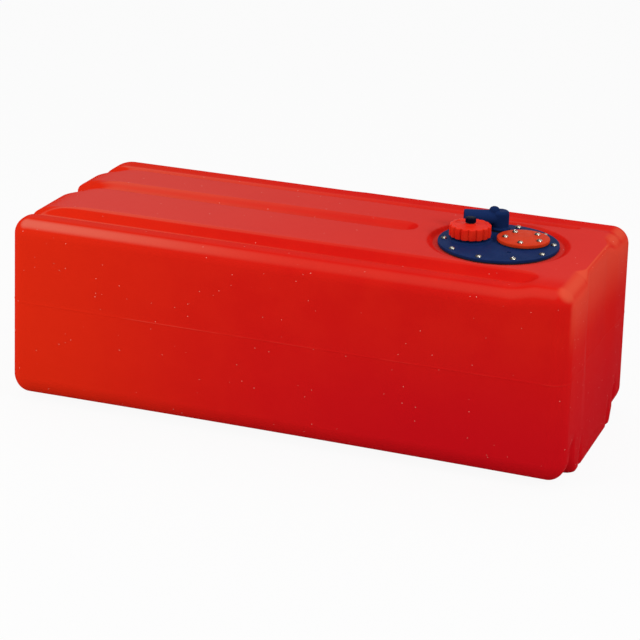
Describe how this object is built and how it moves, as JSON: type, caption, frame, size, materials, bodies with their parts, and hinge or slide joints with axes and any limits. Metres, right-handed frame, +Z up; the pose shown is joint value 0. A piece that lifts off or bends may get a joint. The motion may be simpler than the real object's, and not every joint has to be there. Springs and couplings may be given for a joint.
{
  "type": "fixed boat fuel tank",
  "caption": "Long rotomoulded plastic fuel tank with lengthwise grooves and a round plate that carries a filler cap, a vent elbow and a sender blank.",
  "frame": {"origin": "on the surface the tank stands on, under the middle of the shell", "axes": "+X along the shell towards the end with the fittings plate, +Y from the front to the back, +Z up"},
  "size_m": [0.8795, 0.376, 0.3374],
  "materials": {
    "tank_red": "rotomoulded red polyethylene, soft gloss",
    "cap_red": "injection moulded orange red plastic",
    "plate_navy": "injection moulded navy blue plastic, satin",
    "knob_navy": "nearly black navy plastic",
    "seal_rubber": "black fuel resistant rubber",
    "screw_steel": "bright stainless steel",
    "ring_aluminium": "plain sheet aluminium"
  },
  "bodies": {
    "tank": {"tank_shell": "tank_red", "backing_ring": "ring_aluminium", "plate_gasket": "seal_rubber", "top_plate": "plate_navy", "plate_screw_01": "screw_steel", "plate_screw_02": "screw_steel", "plate_screw_03": "screw_steel", "plate_screw_04": "screw_steel", "plate_screw_05": "screw_steel", "plate_screw_06": "screw_steel", "plate_screw_07": "screw_steel", "plate_screw_08": "screw_steel", "plate_screw_09": "screw_steel", "plate_screw_10": "screw_steel", "vent_elbow": "plate_navy", "elbow_seal": "seal_rubber", "sender_gasket": "seal_rubber", "sender_blank": "cap_red", "sender_screw_1": "screw_steel", "sender_screw_2": "screw_steel", "sender_screw_3": "screw_steel", "sender_screw_4": "screw_steel", "sender_screw_5": "screw_steel"},
    "cap_carrier": {"cap_seal_ring": "seal_rubber"},
    "cap": {"filler_cap": "cap_red"},
    "vent_carrier": {"vent_seal": "seal_rubber"},
    "vent": {"vent_knob": "knob_navy"}
  },
  "joints": [
    {"name": "cap_rise", "type": "slide", "parent": "tank", "child": "cap_carrier", "axis": [0, 0, 1], "range_m": [0, 0.0121]},
    {"name": "cap_turn", "type": "hinge", "parent": "cap_carrier", "child": "cap", "pos_m": [0.233, -0.004, 0.32], "axis": [0, 0, 1], "range_deg": [0, 720]},
    {"name": "vent_rise", "type": "slide", "parent": "cap", "child": "vent_carrier", "axis": [0, 0, 1], "range_m": [0, 0.0015]},
    {"name": "vent_turn", "type": "hinge", "parent": "vent_carrier", "child": "vent", "pos_m": [0.233, -0.004, 0.328], "axis": [0, 0, 1], "range_deg": [0, 360]}
  ],
  "couplings": [
    {"joint": "cap_rise", "follows": "cap_turn", "m_per_rad": 0.00095493},
    {"joint": "vent_turn", "follows": "vent_rise", "rad_per_m": 4188.8}
  ]
}
